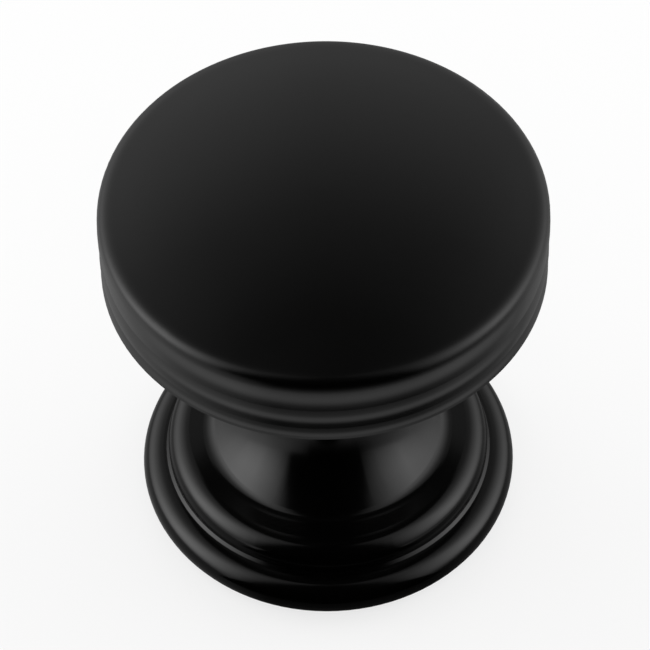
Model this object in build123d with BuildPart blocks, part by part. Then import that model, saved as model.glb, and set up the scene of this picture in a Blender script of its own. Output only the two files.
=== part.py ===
from build123d import *
from math import cos, radians, tan
import os

# A round cabinet knob, cast in one piece and turned about +Z.
# The origin is the centre of the back face, which seats on the door or drawer front.

# Foot, in millimetres
base_diameter = 28.1       # widest part of the foot
foot_edge_round = 1.58     # half-round edge of the foot
foot_ledge = 0.42          # flat strip between that edge and the shoulder, bevel included
quirk_bevel = 0.2          # bevel in the corner where the shoulder rises
shoulder_wall = 0.6        # upright strip of the shoulder, bevel included
shoulder_round = 1.6       # rounding over the shoulder
shelf_width = 1.05         # flat shelf between the shoulder and the neck

# Neck
neck_diameter = 9.0        # waist of the knob
cove_radius = 1.4          # corner between the shelf and the neck
neck_lean = 50.0           # degrees by which the neck leans in where it leaves that corner

# Cap
cap_diameter = 31.75       # across the rim
projection = 32.9          # from the back face to the middle of the crowned face
crown_rise = 2.0           # height of the crown over the rim's upper corner
face_edge_round = 0.7      # rounding between the crown and the rim
face_band = 2.9            # uppermost band of the rim
middle_ring = 1.97         # height of the ring below it
lowest_ring = 1.23         # height of the ring over the underside
groove_depth = 0.08        # of the grooves between the band and the rings
lowest_wall = 0.3          # upright strip of the lowest ring, below its bend
underside_bevel = 0.12     # bevel under the lowest ring
underside_land = 1.0       # flat strip under the rim, between that bevel and the flare

# Screw hole for a number 8 machine screw with 32 threads to the inch
hole_diameter = 4.166
hole_depth = 12.0          # full diameter, without the drill's point
drill_point_angle = 118.0
mouth_diameter = 5.4
mouth_angle = 90.0

base_radius = base_diameter / 2
neck_radius = neck_diameter / 2
cap_radius = cap_diameter / 2
groove_radius = cap_radius - groove_depth
foot_top = 2 * foot_edge_round
shoulder_radius = base_radius - foot_edge_round - foot_ledge
drill_point = hole_diameter / 2 / tan(radians(drill_point_angle / 2))

# The neck's hollow runs from the top of the cove to the waist, where it stands upright.
shelf_inner = shoulder_radius - shoulder_round - shelf_width
lean = radians(neck_lean)
hollow_radius = (shelf_inner - cove_radius * cos(lean) - neck_radius) / (1 - cos(lean))

rim_top = projection - crown_rise
band_bottom = rim_top - face_band
ring_parting = band_bottom - middle_ring
rim_bottom = ring_parting - lowest_ring
underside_outer = cap_radius - underside_bevel

with BuildPart() as knob:
    with BuildSketch(Plane.XZ) as half_section:
        with BuildLine():
            # Back face and foot
            back = Line((0, 0), (base_radius - foot_edge_round, 0))
            foot_edge = JernArc(back @ 1, (1, 0), foot_edge_round, 180)
            ledge = Line(foot_edge @ 1, (shoulder_radius + quirk_bevel, foot_top))
            quirk = Line(ledge @ 1, (shoulder_radius, foot_top + quirk_bevel))
            riser = Line(quirk @ 1, (shoulder_radius, foot_top + shoulder_wall))
            shoulder = JernArc(riser @ 1, (0, 1), shoulder_round, 90)
            # Shelf, cove, hollow neck and the flare under the cap
            shelf = Line(shoulder @ 1, (shelf_inner, foot_top + shoulder_wall + shoulder_round))
            cove = JernArc(shelf @ 1, (-1, 0), cove_radius, neck_lean - 90)
            hollow = JernArc(cove @ 1, cove % 1, hollow_radius, -neck_lean)
            flare = TangentArc(hollow @ 1, (underside_outer - underside_land, rim_bottom), tangent=(0, 1))
            underside = Line(flare @ 1, (underside_outer, rim_bottom))
            # Lowest ring, upright below and bent in to its groove
            bevel = Line(underside @ 1, (cap_radius, rim_bottom + underside_bevel))
            wall = Line(bevel @ 1, (cap_radius, rim_bottom + underside_bevel + lowest_wall))
            TangentArc(wall @ 1, (groove_radius, ring_parting), tangent=(0, 1))
            # Middle ring and face band, each crowned between its edges
            for bottom, top in ((ring_parting, band_bottom), (band_bottom, rim_top)):
                crest = (cap_radius, (bottom + top) / 2)
                TangentArc(crest, (groove_radius, bottom), tangent=(0, -1))
                upper_half = TangentArc(crest, (groove_radius, top), tangent=(0, 1))
            # Crowned face
            TangentArc((0, projection), upper_half @ 1, tangent=(1, 0))
            Line((0, projection), (0, 0))
        make_face()
        fillet(half_section.vertices().sort_by_distance(upper_half @ 1)[0], face_edge_round)
    revolve(axis=Axis.Z)

    # Blind screw hole, drilled up from the back face, with an opened mouth and the drill's point
    with Locations(knob.faces().sort_by(Axis.Z)[0]):
        CounterSinkHole(hole_diameter / 2, mouth_diameter / 2, hole_depth, mouth_angle)
    with Locations((0, 0, hole_depth)):
        on_base = (Align.CENTER, Align.CENTER, Align.MIN)
        Cone(hole_diameter / 2, 0, drill_point, align=on_base, mode=Mode.SUBTRACT)

knob.part.label = "knob"
os.makedirs("parts", exist_ok=True)
export_step(knob.part, "parts/knob.step")

print("volume", round(knob.part.volume, 1), "mm3, box", knob.part.bounding_box())
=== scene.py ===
# %% [markdown]
# # A satin black cabinet knob
# The real knob is a small casting, most likely of zinc, round about its axis and sprayed with one
# coat of satin black. Its shape is all in the CAD model, so this lesson keeps that solid and works on
# what the solid lacks: the coat, the screw thread inside the back, and the light in which it is seen.

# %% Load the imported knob
import bmesh
import bpy
from math import cos, pi, radians, sin, tau
from mathutils import Matrix, Vector


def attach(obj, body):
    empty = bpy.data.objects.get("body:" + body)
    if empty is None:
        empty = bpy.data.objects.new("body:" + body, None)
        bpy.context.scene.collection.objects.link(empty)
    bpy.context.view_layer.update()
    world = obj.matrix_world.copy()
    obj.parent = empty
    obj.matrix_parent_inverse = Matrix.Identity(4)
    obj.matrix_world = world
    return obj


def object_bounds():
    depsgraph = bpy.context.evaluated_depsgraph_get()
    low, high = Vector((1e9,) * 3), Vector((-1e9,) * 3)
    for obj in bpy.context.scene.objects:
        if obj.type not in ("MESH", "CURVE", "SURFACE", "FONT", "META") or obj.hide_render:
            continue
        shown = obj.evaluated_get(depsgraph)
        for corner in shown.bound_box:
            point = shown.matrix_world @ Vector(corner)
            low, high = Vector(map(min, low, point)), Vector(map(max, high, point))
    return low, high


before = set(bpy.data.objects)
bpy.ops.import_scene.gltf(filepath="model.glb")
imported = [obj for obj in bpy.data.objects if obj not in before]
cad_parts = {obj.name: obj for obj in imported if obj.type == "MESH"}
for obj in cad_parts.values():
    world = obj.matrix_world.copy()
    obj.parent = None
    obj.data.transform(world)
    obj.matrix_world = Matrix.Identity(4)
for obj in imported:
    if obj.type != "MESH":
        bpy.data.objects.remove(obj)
cad_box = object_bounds()
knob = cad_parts["knob"]
MM = 0.001
cad_size_mm = [round((high - low) / MM, 2) for low, high in zip(*cad_box)]
print("knob of", cad_size_mm, "mm,", len(knob.data.polygons), "faces")

# %% [markdown]
# ## The camera
# The knob stands on its back and is seen from above, from about fifty degrees over the table, with
# a long lens that keeps its circles nearly true. The camera could be aimed with a constraint, but
# its place and its small roll come from a fit to the outline, so they are set as one matrix.

# %% Place the camera
IMAGE_WIDTH = 650
FOCAL_PIXELS = 3576.6
ELEVATION = radians(51.713)
ROLL = radians(-1.167)
DISTANCE = 260.0 * MM
TARGET = Vector((0, 0, 17.443 * MM))
CENTRE_SHIFT_PIXELS = -0.683
SENSOR_WIDTH_MM = 36.0
NEAREST_SEEN = 1 * MM

camera_data = bpy.data.cameras.new("camera")
camera_data.sensor_width = SENSOR_WIDTH_MM
camera_data.lens = FOCAL_PIXELS * SENSOR_WIDTH_MM / IMAGE_WIDTH
camera_data.shift_x = CENTRE_SHIFT_PIXELS / IMAGE_WIDTH
camera_data.clip_start = NEAREST_SEEN
camera = bpy.data.objects.new("camera", camera_data)
bpy.context.scene.collection.objects.link(camera)
towards_camera = Vector((0, -cos(ELEVATION), sin(ELEVATION)))
tilt = Matrix.Rotation(pi / 2 - ELEVATION, 4, "X")
camera.matrix_world = (
    Matrix.Translation(TARGET + towards_camera * DISTANCE) @ tilt @ Matrix.Rotation(ROLL, 4, "Z")
)
bpy.context.scene.camera = camera
bpy.context.scene.view_settings.view_transform = "Standard"
print("lens", round(camera_data.lens, 2), "mm")

# %% [markdown]
# ## Shader sums as Python
# A node tree is easier to read as a formula. Each output socket is wrapped in a small class whose
# operators add a Math node, so that `1 - mask` is written as it is thought. Every other node comes
# from one method, which takes the node's type, its settings and then its sockets.

# %% A socket that takes part in sums
class Wire:
    """One output socket of a node tree, or the bare tree when there is no socket yet."""

    def __init__(self, tree, socket=None):
        self.tree = tree
        self.socket = socket

    def node(self, kind, settings=None, sockets=None, output=0):
        """Adds a node: settings first, then a value or a wire for each named or numbered socket."""
        made = self.tree.nodes.new(kind)
        settings = dict(settings or {})
        stops = settings.pop("stops", None)
        for name, value in settings.items():
            setattr(made, name, value)
        if stops:
            elements = made.color_ramp.elements
            while len(elements) < len(stops):
                elements.new(1.0)
            for element, (position, level) in zip(elements, stops):
                element.position = position
                element.color = (level, level, level, 1)
        for name, value in (sockets or {}).items():
            if isinstance(value, Wire):
                self.tree.links.new(value.socket, made.inputs[name])
            else:
                made.inputs[name].default_value = value
        return Wire(self.tree, made.outputs[output]) if made.outputs else made

    def arithmetic(self, operation, first, second):
        """Adds a Math node for two values, of which either may be a wire."""
        return self.node("ShaderNodeMath", {"operation": operation}, {0: first, 1: second})

    def __add__(self, other):
        return self.arithmetic("ADD", self, other)

    def __sub__(self, other):
        return self.arithmetic("SUBTRACT", self, other)

    def __rsub__(self, other):
        return self.arithmetic("SUBTRACT", other, self)

    def __mul__(self, other):
        return self.arithmetic("MULTIPLY", self, other)

    def __truediv__(self, other):
        return self.arithmetic("DIVIDE", self, other)

    def __rtruediv__(self, other):
        return self.arithmetic("DIVIDE", other, self)

    __radd__ = __add__
    __rmul__ = __mul__


print("a wire can be added, subtracted, multiplied and divided")

# %% [markdown]
# ## The black coat
# Sprayed satin black is a thin film of paint. It is almost without colour of its own, and what is
# seen is its soft gloss. Four things keep it from looking like plastic. The spray leaves a faint
# orange peel as it levels. A grain of fine pigment spreads the gloss, and its roughness drifts a
# little from place to place. These are noise in the object's own coordinates, since a picture of
# paint would show its seams. The fourth is a soft turn of the light over the crowned face's edge and
# round the waist, as where a casting is rubbed down before it is sprayed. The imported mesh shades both
# a little harder. A finer mesh could mend that, but the solid's mesh stays as it is, so a Bevel node
# turns the normals there.

# %% Colour and gloss of the coat
COAT_BLACK = (0.0004, 0.0004, 0.0004, 1)
COAT_WARM = (0.001, 0.001, 0.0009, 1)
PEEL_WIDTH = 1.1 * MM
GRAIN_WIDTH = 0.09 * MM
DRIFT_WIDTH = 7.0 * MM
NOISE_DETAIL = 2.0
SMOOTHEST = 0.12
DRIFT_ROUGHNESS = 0.04
GRAIN_ROUGHNESS = 0.03


def new_material(name):
    """A material with an empty tree, and the bare wire that its nodes start from."""
    material = bpy.data.materials.new(name)
    material.use_nodes = True
    material.node_tree.nodes.clear()
    return material, Wire(material.node_tree)


coat, wire = new_material("black_coat")
place = wire.node("ShaderNodeTexCoord", output="Object")
peel, grain, drift = (
    wire.node("ShaderNodeTexNoise", None, {"Vector": place, "Scale": 1 / width, "Detail": NOISE_DETAIL})
    for width in (PEEL_WIDTH, GRAIN_WIDTH, DRIFT_WIDTH)
)
tone = wire.node(
    "ShaderNodeMix",
    {"data_type": "RGBA"},
    {"Factor": drift, "A": COAT_BLACK, "B": COAT_WARM},
    output="Result",
)
roughness = SMOOTHEST + DRIFT_ROUGHNESS * drift + GRAIN_ROUGHNESS * grain
print("roughness", SMOOTHEST, "to", round(SMOOTHEST + DRIFT_ROUGHNESS + GRAIN_ROUGHNESS, 2))

# %% Soft turn at the face's edge and the waist
# Each pair is the heights over the back between which a mask rises from nought to one.
FACE_EDGE = (29.7 * MM, 30.1 * MM)
WAIST_BELOW = (12.0 * MM, 13.0 * MM)
WAIST_ABOVE = (16.0 * MM, 17.0 * MM)
RUBBED_RADIUS = 1.1 * MM
RUBBED_SAMPLES = 8

above_back = wire.node("ShaderNodeSeparateXYZ", None, {"Vector": place}, output="Z")


def risen(start, end):
    """A mask that rises from nought to one between two heights over the back."""
    heights = {"Value": above_back, "From Min": start, "From Max": end}
    return above_back.node("ShaderNodeMapRange", None, heights)


rubbed = risen(*FACE_EDGE) + risen(*WAIST_BELOW) * (1 - risen(*WAIST_ABOVE))
as_cast = wire.node("ShaderNodeNewGeometry", output="Normal")
softened = wire.node("ShaderNodeBevel", {"samples": RUBBED_SAMPLES}, {"Radius": RUBBED_RADIUS})
facing = wire.node(
    "ShaderNodeMix",
    {"data_type": "VECTOR"},
    {"Factor": rubbed, "A": as_cast, "B": softened},
    output="Result",
)
print("edges softened to a radius of", round(RUBBED_RADIUS / MM, 2), "mm")

# %% Relief, and the coat on the knob
PEEL_HEIGHT = 0.0012 * MM
GRAIN_HEIGHT = 0.0004 * MM
COAT_IOR = 1.5

film_height = PEEL_HEIGHT * peel + GRAIN_HEIGHT * grain
# The heights are in metres, so the bump's own strength and distance stay at one.
relief = wire.node(
    "ShaderNodeBump", None, {"Strength": 1.0, "Distance": 1.0, "Height": film_height, "Normal": facing}
)
film = wire.node(
    "ShaderNodeBsdfPrincipled",
    None,
    {"Base Color": tone, "Roughness": roughness, "IOR": COAT_IOR, "Normal": relief},
)
wire.node("ShaderNodeOutputMaterial", None, {"Surface": film})
for slot in knob.material_slots:
    slot.material = coat
print("coat of", len(coat.node_tree.nodes), "nodes on", len(knob.material_slots), "slot")

# %% [markdown]
# ## The screw thread
# The hole in the back is tapped for a number 8 screw with 32 threads to the inch. The solid has a
# plain bore at the thread's outer diameter. A screw modifier could spin a small outline into the
# ridge, but its ends would stay blunt, so the ridge is swept here step by step: four corners at each
# step, sunk a little into the bore's wall, which shrink into the wall over the first and last turn.

# %% Measure the thread
PITCH = 25.4 / 32 * MM
BORE_RADIUS = 2.083 * MM
CREST_RADIUS = 1.72 * MM
SUNK = 0.03 * MM
CREST_FLAT = 0.2 * MM
ROOT_WIDTH = 0.62 * MM
THREAD_START = 0.95 * MM
THREAD_END = 10.6 * MM
# At its two ends the ridge shrinks to this share of its size.
LEAST_GROWN = 0.05

turns = (THREAD_END - THREAD_START) / PITCH


def ridge_outline(turned):
    """The ridge's four corners, as radius and height, after so many turns."""
    grown = min(1.0, max(LEAST_GROWN, turned), max(LEAST_GROWN, turns - turned))
    crest = BORE_RADIUS - (BORE_RADIUS - CREST_RADIUS) * grown
    height = THREAD_START + PITCH * turned
    return [
        (BORE_RADIUS + SUNK, height - ROOT_WIDTH / 2 * grown),
        (crest, height - CREST_FLAT / 2 * grown),
        (crest, height + CREST_FLAT / 2 * grown),
        (BORE_RADIUS + SUNK, height + ROOT_WIDTH / 2 * grown),
    ]


print("thread of", round(turns, 1), "turns")

# %% Sweep the ridge
STEPS_PER_TURN = 48
SHARP_EDGE = radians(25)


def set_out(name, shape, material):
    """Turns a finished bmesh into an object of the scene, with its material."""
    mesh = bpy.data.meshes.new(name)
    shape.to_mesh(mesh)
    shape.free()
    mesh.materials.append(material)
    made = bpy.data.objects.new(name, mesh)
    bpy.context.scene.collection.objects.link(made)
    return made


ridge = bmesh.new()
rings = []
for step in range(round(turns * STEPS_PER_TURN) + 1):
    turned = step / STEPS_PER_TURN
    across, along = cos(tau * turned), sin(tau * turned)
    rings.append([ridge.verts.new((r * across, r * along, z)) for r, z in ridge_outline(turned)])
for ring, following in zip(rings, rings[1:]):
    for corner in range(len(ring)):
        beside = (corner + 1) % len(ring)
        ridge.faces.new((ring[corner], following[corner], following[beside], ring[beside]))
ridge.faces.new(rings[0])
ridge.faces.new(reversed(rings[-1]))
bmesh.ops.recalc_face_normals(ridge, faces=ridge.faces)
thread = set_out("screw_thread", ridge, coat)
thread.data.polygons.foreach_set("use_smooth", [True] * len(thread.data.polygons))
thread.data.set_sharp_from_angle(angle=SHARP_EDGE)
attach(thread, "root")
print("ridge of", len(thread.data.polygons), "faces")

# %% [markdown]
# ## The floor
# The knob stands on a plain white table. A disc of matt white takes the knob's soft shadow. Under a
# plain light it would look grey, and more lamps would bleach what stands on it, so the rest of its
# white is a glow, which shows to the camera, to gloss and to glass, and lights nothing else.

# %% Lay the floor
FLOOR_RADIUS = 2.0
FLOOR_WHITE = (0.25, 0.25, 0.25, 1)
FLOOR_GLOW = 0.75
DISC_SIDES = 64


def background_share(wire):
    """One for the rays that show the background: from the camera, off gloss and through glass."""
    rays = ("Is Camera Ray", "Is Glossy Ray", "Is Transmission Ray")
    return sum(wire.node("ShaderNodeLightPath", output=ray) for ray in rays)


def disc(radius):
    """A flat round sheet, as a bmesh."""
    shape = bmesh.new()
    bmesh.ops.create_circle(shape, cap_ends=True, segments=DISC_SIDES, radius=radius)
    return shape


white, wire = new_material("white_table")
matt = wire.node(
    "ShaderNodeBsdfPrincipled",
    None,
    {
        "Base Color": FLOOR_WHITE,
        "Roughness": 1.0,
        "Specular IOR Level": 0.0,
        "Emission Color": FLOOR_GLOW * background_share(wire),
        "Emission Strength": 1.0,
    },
)
wire.node("ShaderNodeOutputMaterial", None, {"Surface": matt})
floor = set_out("floor", disc(FLOOR_RADIUS), white)
print("floor", 2 * FLOOR_RADIUS, "m across")

# %% [markdown]
# ## Lamps and the world
# Black paint shows little but what it mirrors, so the light is set in two parts. This is the first:
# an even world and three soft lamps, at a plain level, for the table and its shadow. A ring of strong
# lamps could do both parts at once, but it would bleach the table, and each lamp would show in the
# gloss as a hard square. So these lamps are left out of the gloss, and cards take their place there.

# %% Set the lamps and the world
FILL = 0.6
LAMP_SIZE = 0.5
# Each lamp has its place in metres and its power in watts.
LAMPS = {
    "left_lamp": ((-0.55, 0.25, 0.5), 1.6),
    "right_lamp": ((0.55, 0.25, 0.5), 1.3),
    "back_lamp": ((0.0, 0.6, 0.6), 1.0),
}

world = bpy.data.worlds.new("studio")
world.use_nodes = True
world.node_tree.nodes.clear()
bpy.context.scene.world = world
wire = Wire(world.node_tree)
seen = background_share(wire)
sky = wire.node("ShaderNodeBackground", None, {"Color": FILL * (1 - seen) + seen, "Strength": 1.0})
wire.node("ShaderNodeOutputWorld", None, {"Surface": sky})

for name, (position, watts) in LAMPS.items():
    lamp_data = bpy.data.lights.new(name, "AREA")
    lamp_data.shape = "SQUARE"
    lamp_data.size = LAMP_SIZE
    lamp_data.energy = watts
    lamp = bpy.data.objects.new(name, lamp_data)
    bpy.context.scene.collection.objects.link(lamp)
    lamp.location = position
    lamp.rotation_mode = "QUATERNION"
    lamp.rotation_quaternion = (-Vector(position)).to_track_quat("-Z", "Y")
    lamp.visible_glossy = False
print("lamps", list(LAMPS), "and a world of", FILL)

# %% [markdown]
# ## The tent
# The second part of the light is what the gloss shows. Round such a knob a photographer hangs a tent
# of white cloth, lit through from both sides, and cuts a gap for the camera. Single bright cards would
# mirror as hard stripes, so the tent is one dome whose glow is the product of two ramps, one round the
# knob and one up the dome. The bright sides lean in to the front with height, so that the gap narrows
# overhead. Only the gloss sees the cards, and the table keeps its own light.

# %% Cards that only the gloss sees
HIDDEN_FROM = ("camera", "diffuse", "shadow", "transmission", "volume_scatter")


def hang_card(name, shape, material):
    """Sets out a card that only the gloss sees."""
    card = set_out(name, shape, material)
    for ray in HIDDEN_FROM:
        setattr(card, "visible_" + ray, False)
    return card


print("cards are hidden from", ", ".join(HIDDEN_FROM))

# %% A glow that changes over a card
HALF_TURN = 0.5


def glow(name, brightness):
    """A glowing material, whose brightness is worked out from the place on the card."""
    material, wire = new_material(name)
    # The card isn't sampled as a lamp, because only mirrored rays find it.
    material.cycles.emission_sampling = "NONE"
    spot = wire.node("ShaderNodeTexCoord", output="Object")
    x, y, z = (
        wire.node("ShaderNodeSeparateXYZ", None, {"Vector": spot}, output=axis) for axis in "XYZ"
    )
    light = wire.node("ShaderNodeEmission", None, {"Color": brightness(wire, x, y, z), "Strength": 1.0})
    wire.node("ShaderNodeOutputMaterial", None, {"Surface": light})
    return material


def ramp(wire, value, stops):
    """Brightness along a value, straight from stop to stop."""
    return wire.node("ShaderNodeValToRGB", {"stops": stops}, {"Fac": value})


def round_knob(wire, x, y):
    """Where a place lies round the knob: 0 and 1 in front, 0.25 at the left, 0.5 behind."""
    turn = wire.node("ShaderNodeMath", {"operation": "ARCTAN2"}, {0: x, 1: y})
    return turn / tau + HALF_TURN


print("a glow runs from 0 to 1 round the knob, with", HALF_TURN, "behind it")

# %% Hang the tent
CARD_RADIUS = 0.9
TENT_LEAN = 0.15
TENT_SEGMENTS = 64
TENT_HEM = -1 * MM
STRAIGHT_UP = pi / 2
# Round the knob, from the front (0) by the left (0.25), the back (0.5) and the right (0.75).
TENT_ROUND = [
    (0.12, 0.0), (0.167, 1.3), (0.215, 2.4), (0.25, 2.55), (0.333, 1.36), (0.445, 0.68), (0.5, 0.46),
    (0.56, 0.5), (0.667, 1.14), (0.77, 1.98), (0.895, 0.0),
]
# Up the tent, from the table (0) to straight overhead (1).
TENT_UP = [
    (0.0, 0.58), (0.1, 0.9), (0.18, 1.06), (0.27, 1.06), (0.45, 0.78), (0.62, 0.36), (0.8, 0.12),
    (1.0, 0.09),
]


def tent_light(wire, x, y, z):
    """The tent's glow: its brightness round the knob, dimmed towards the table and overhead."""
    steepness = wire.node("ShaderNodeMath", {"operation": "ARCSINE"}, {0: z / CARD_RADIUS})
    around = round_knob(wire, x, y + TENT_LEAN * z)
    return ramp(wire, around, TENT_ROUND) * ramp(wire, steepness / STRAIGHT_UP, TENT_UP)


cloth = bmesh.new()
bmesh.ops.create_uvsphere(
    cloth, u_segments=TENT_SEGMENTS, v_segments=TENT_SEGMENTS // 2, radius=CARD_RADIUS
)
below = [vertex for vertex in cloth.verts if vertex.co.z < TENT_HEM]
bmesh.ops.delete(cloth, geom=below, context="VERTS")
tent = hang_card("tent", cloth, glow("tent_cloth", tent_light))
print("tent", 2 * CARD_RADIUS, "m across,", len(tent.data.polygons), "faces")

# %% [markdown]
# ## The sheet on the table
# The rim and the foot mirror the table close by. There the light comes from a sheet laid flat on the
# table: it is bright away from the knob and dim near it, where a shadow of the knob is painted into
# its glow. In front it is black, but for one pale strip, which draws the soft line along the rim's
# front. Painting that line on the coat would be simpler, but it would stay put when the knob is seen
# from elsewhere.

# %% Lay the sheet
SHEET_LIFT = 0.02 * MM
SHEET_HALFWAY = 40 * MM
# Round the knob, as for the tent.
SHEET_ROUND = [
    (0.06, 0.0), (0.1, 0.25), (0.22, 0.92), (0.28, 0.95), (0.333, 0.78), (0.445, 0.36), (0.5, 0.32),
    (0.61, 0.52), (0.72, 0.68), (0.855, 0.15), (0.9, 0.0),
]
STRIP_ROUND = [
    (0.1, 1.0), (0.154, 0.65), (0.23, 0.08), (0.26, 0.0), (0.74, 0.0), (0.846, 0.8), (0.96, 1.0),
]
# Out along the table, by r / (r + SHEET_HALFWAY). The low stops near the knob are its painted shadow.
SHEET_OUT = [(0.2, 0.34), (0.41, 0.28), (0.545, 0.5), (0.65, 0.9), (0.86, 1.0)]
STRIP_OUT = [(0.44, 0.03), (0.475, 0.63), (0.498, 0.63), (0.53, 0.24), (0.6, 0.11), (0.78, 0.0)]


def sheet_light(wire, x, y, z):
    """The sheet's glow: the open sheet at the sides and behind, with the knob's shadow painted in near
    it, and the strip in front.
    """
    out = wire.node("ShaderNodeMath", {"operation": "SQRT"}, {0: x * x + y * y})
    share = 1 - SHEET_HALFWAY / (out + SHEET_HALFWAY)
    around = round_knob(wire, x, y)
    open_sheet = ramp(wire, around, SHEET_ROUND) * ramp(wire, share, SHEET_OUT)
    strip = ramp(wire, around, STRIP_ROUND) * ramp(wire, share, STRIP_OUT)
    return open_sheet + strip


table_sheet = hang_card("table_sheet", disc(CARD_RADIUS), glow("sheet_paper", sheet_light))
table_sheet.location.z = SHEET_LIFT
print("sheet", 2 * CARD_RADIUS, "m across, strip in front")

# %% [markdown]
# ## The flag
# The strip should show in the rim, high up, and not in the shoulder and the foot. A photographer
# stands a flag there, a low card of black velvet close before the foot. It is bent round the foot and
# runs out to almost nothing at its ends, because a straight card would cut the highlights at the sides.

# %% Stand the flag
FLAG_RADIUS = 18 * MM
FLAG_HEIGHT = 8 * MM
FLAG_REACH = radians(42)
FLAG_STEPS = 32
FLAG_LEAST = 0.1 * MM
VELVET_BLACK = (0.0, 0.0, 0.0, 1)

velvet, wire = new_material("black_velvet")
pile = wire.node("ShaderNodeBsdfDiffuse", None, {"Color": VELVET_BLACK})
wire.node("ShaderNodeOutputMaterial", None, {"Surface": pile})
board = bmesh.new()
posts = []
for step in range(FLAG_STEPS + 1):
    share = 2 * step / FLAG_STEPS - 1
    angle = FLAG_REACH * share
    x, y = FLAG_RADIUS * sin(angle), -FLAG_RADIUS * cos(angle)
    top = FLAG_HEIGHT * (1 - share * share) + FLAG_LEAST
    posts.append([board.verts.new((x, y, z)) for z in (0, top)])
for (low, high), (next_low, next_high) in zip(posts, posts[1:]):
    board.faces.new((low, next_low, next_high, high))
flag = hang_card("flag", board, velvet)
print("flag", round(FLAG_HEIGHT / MM, 1), "mm high, of", len(flag.data.polygons), "faces")
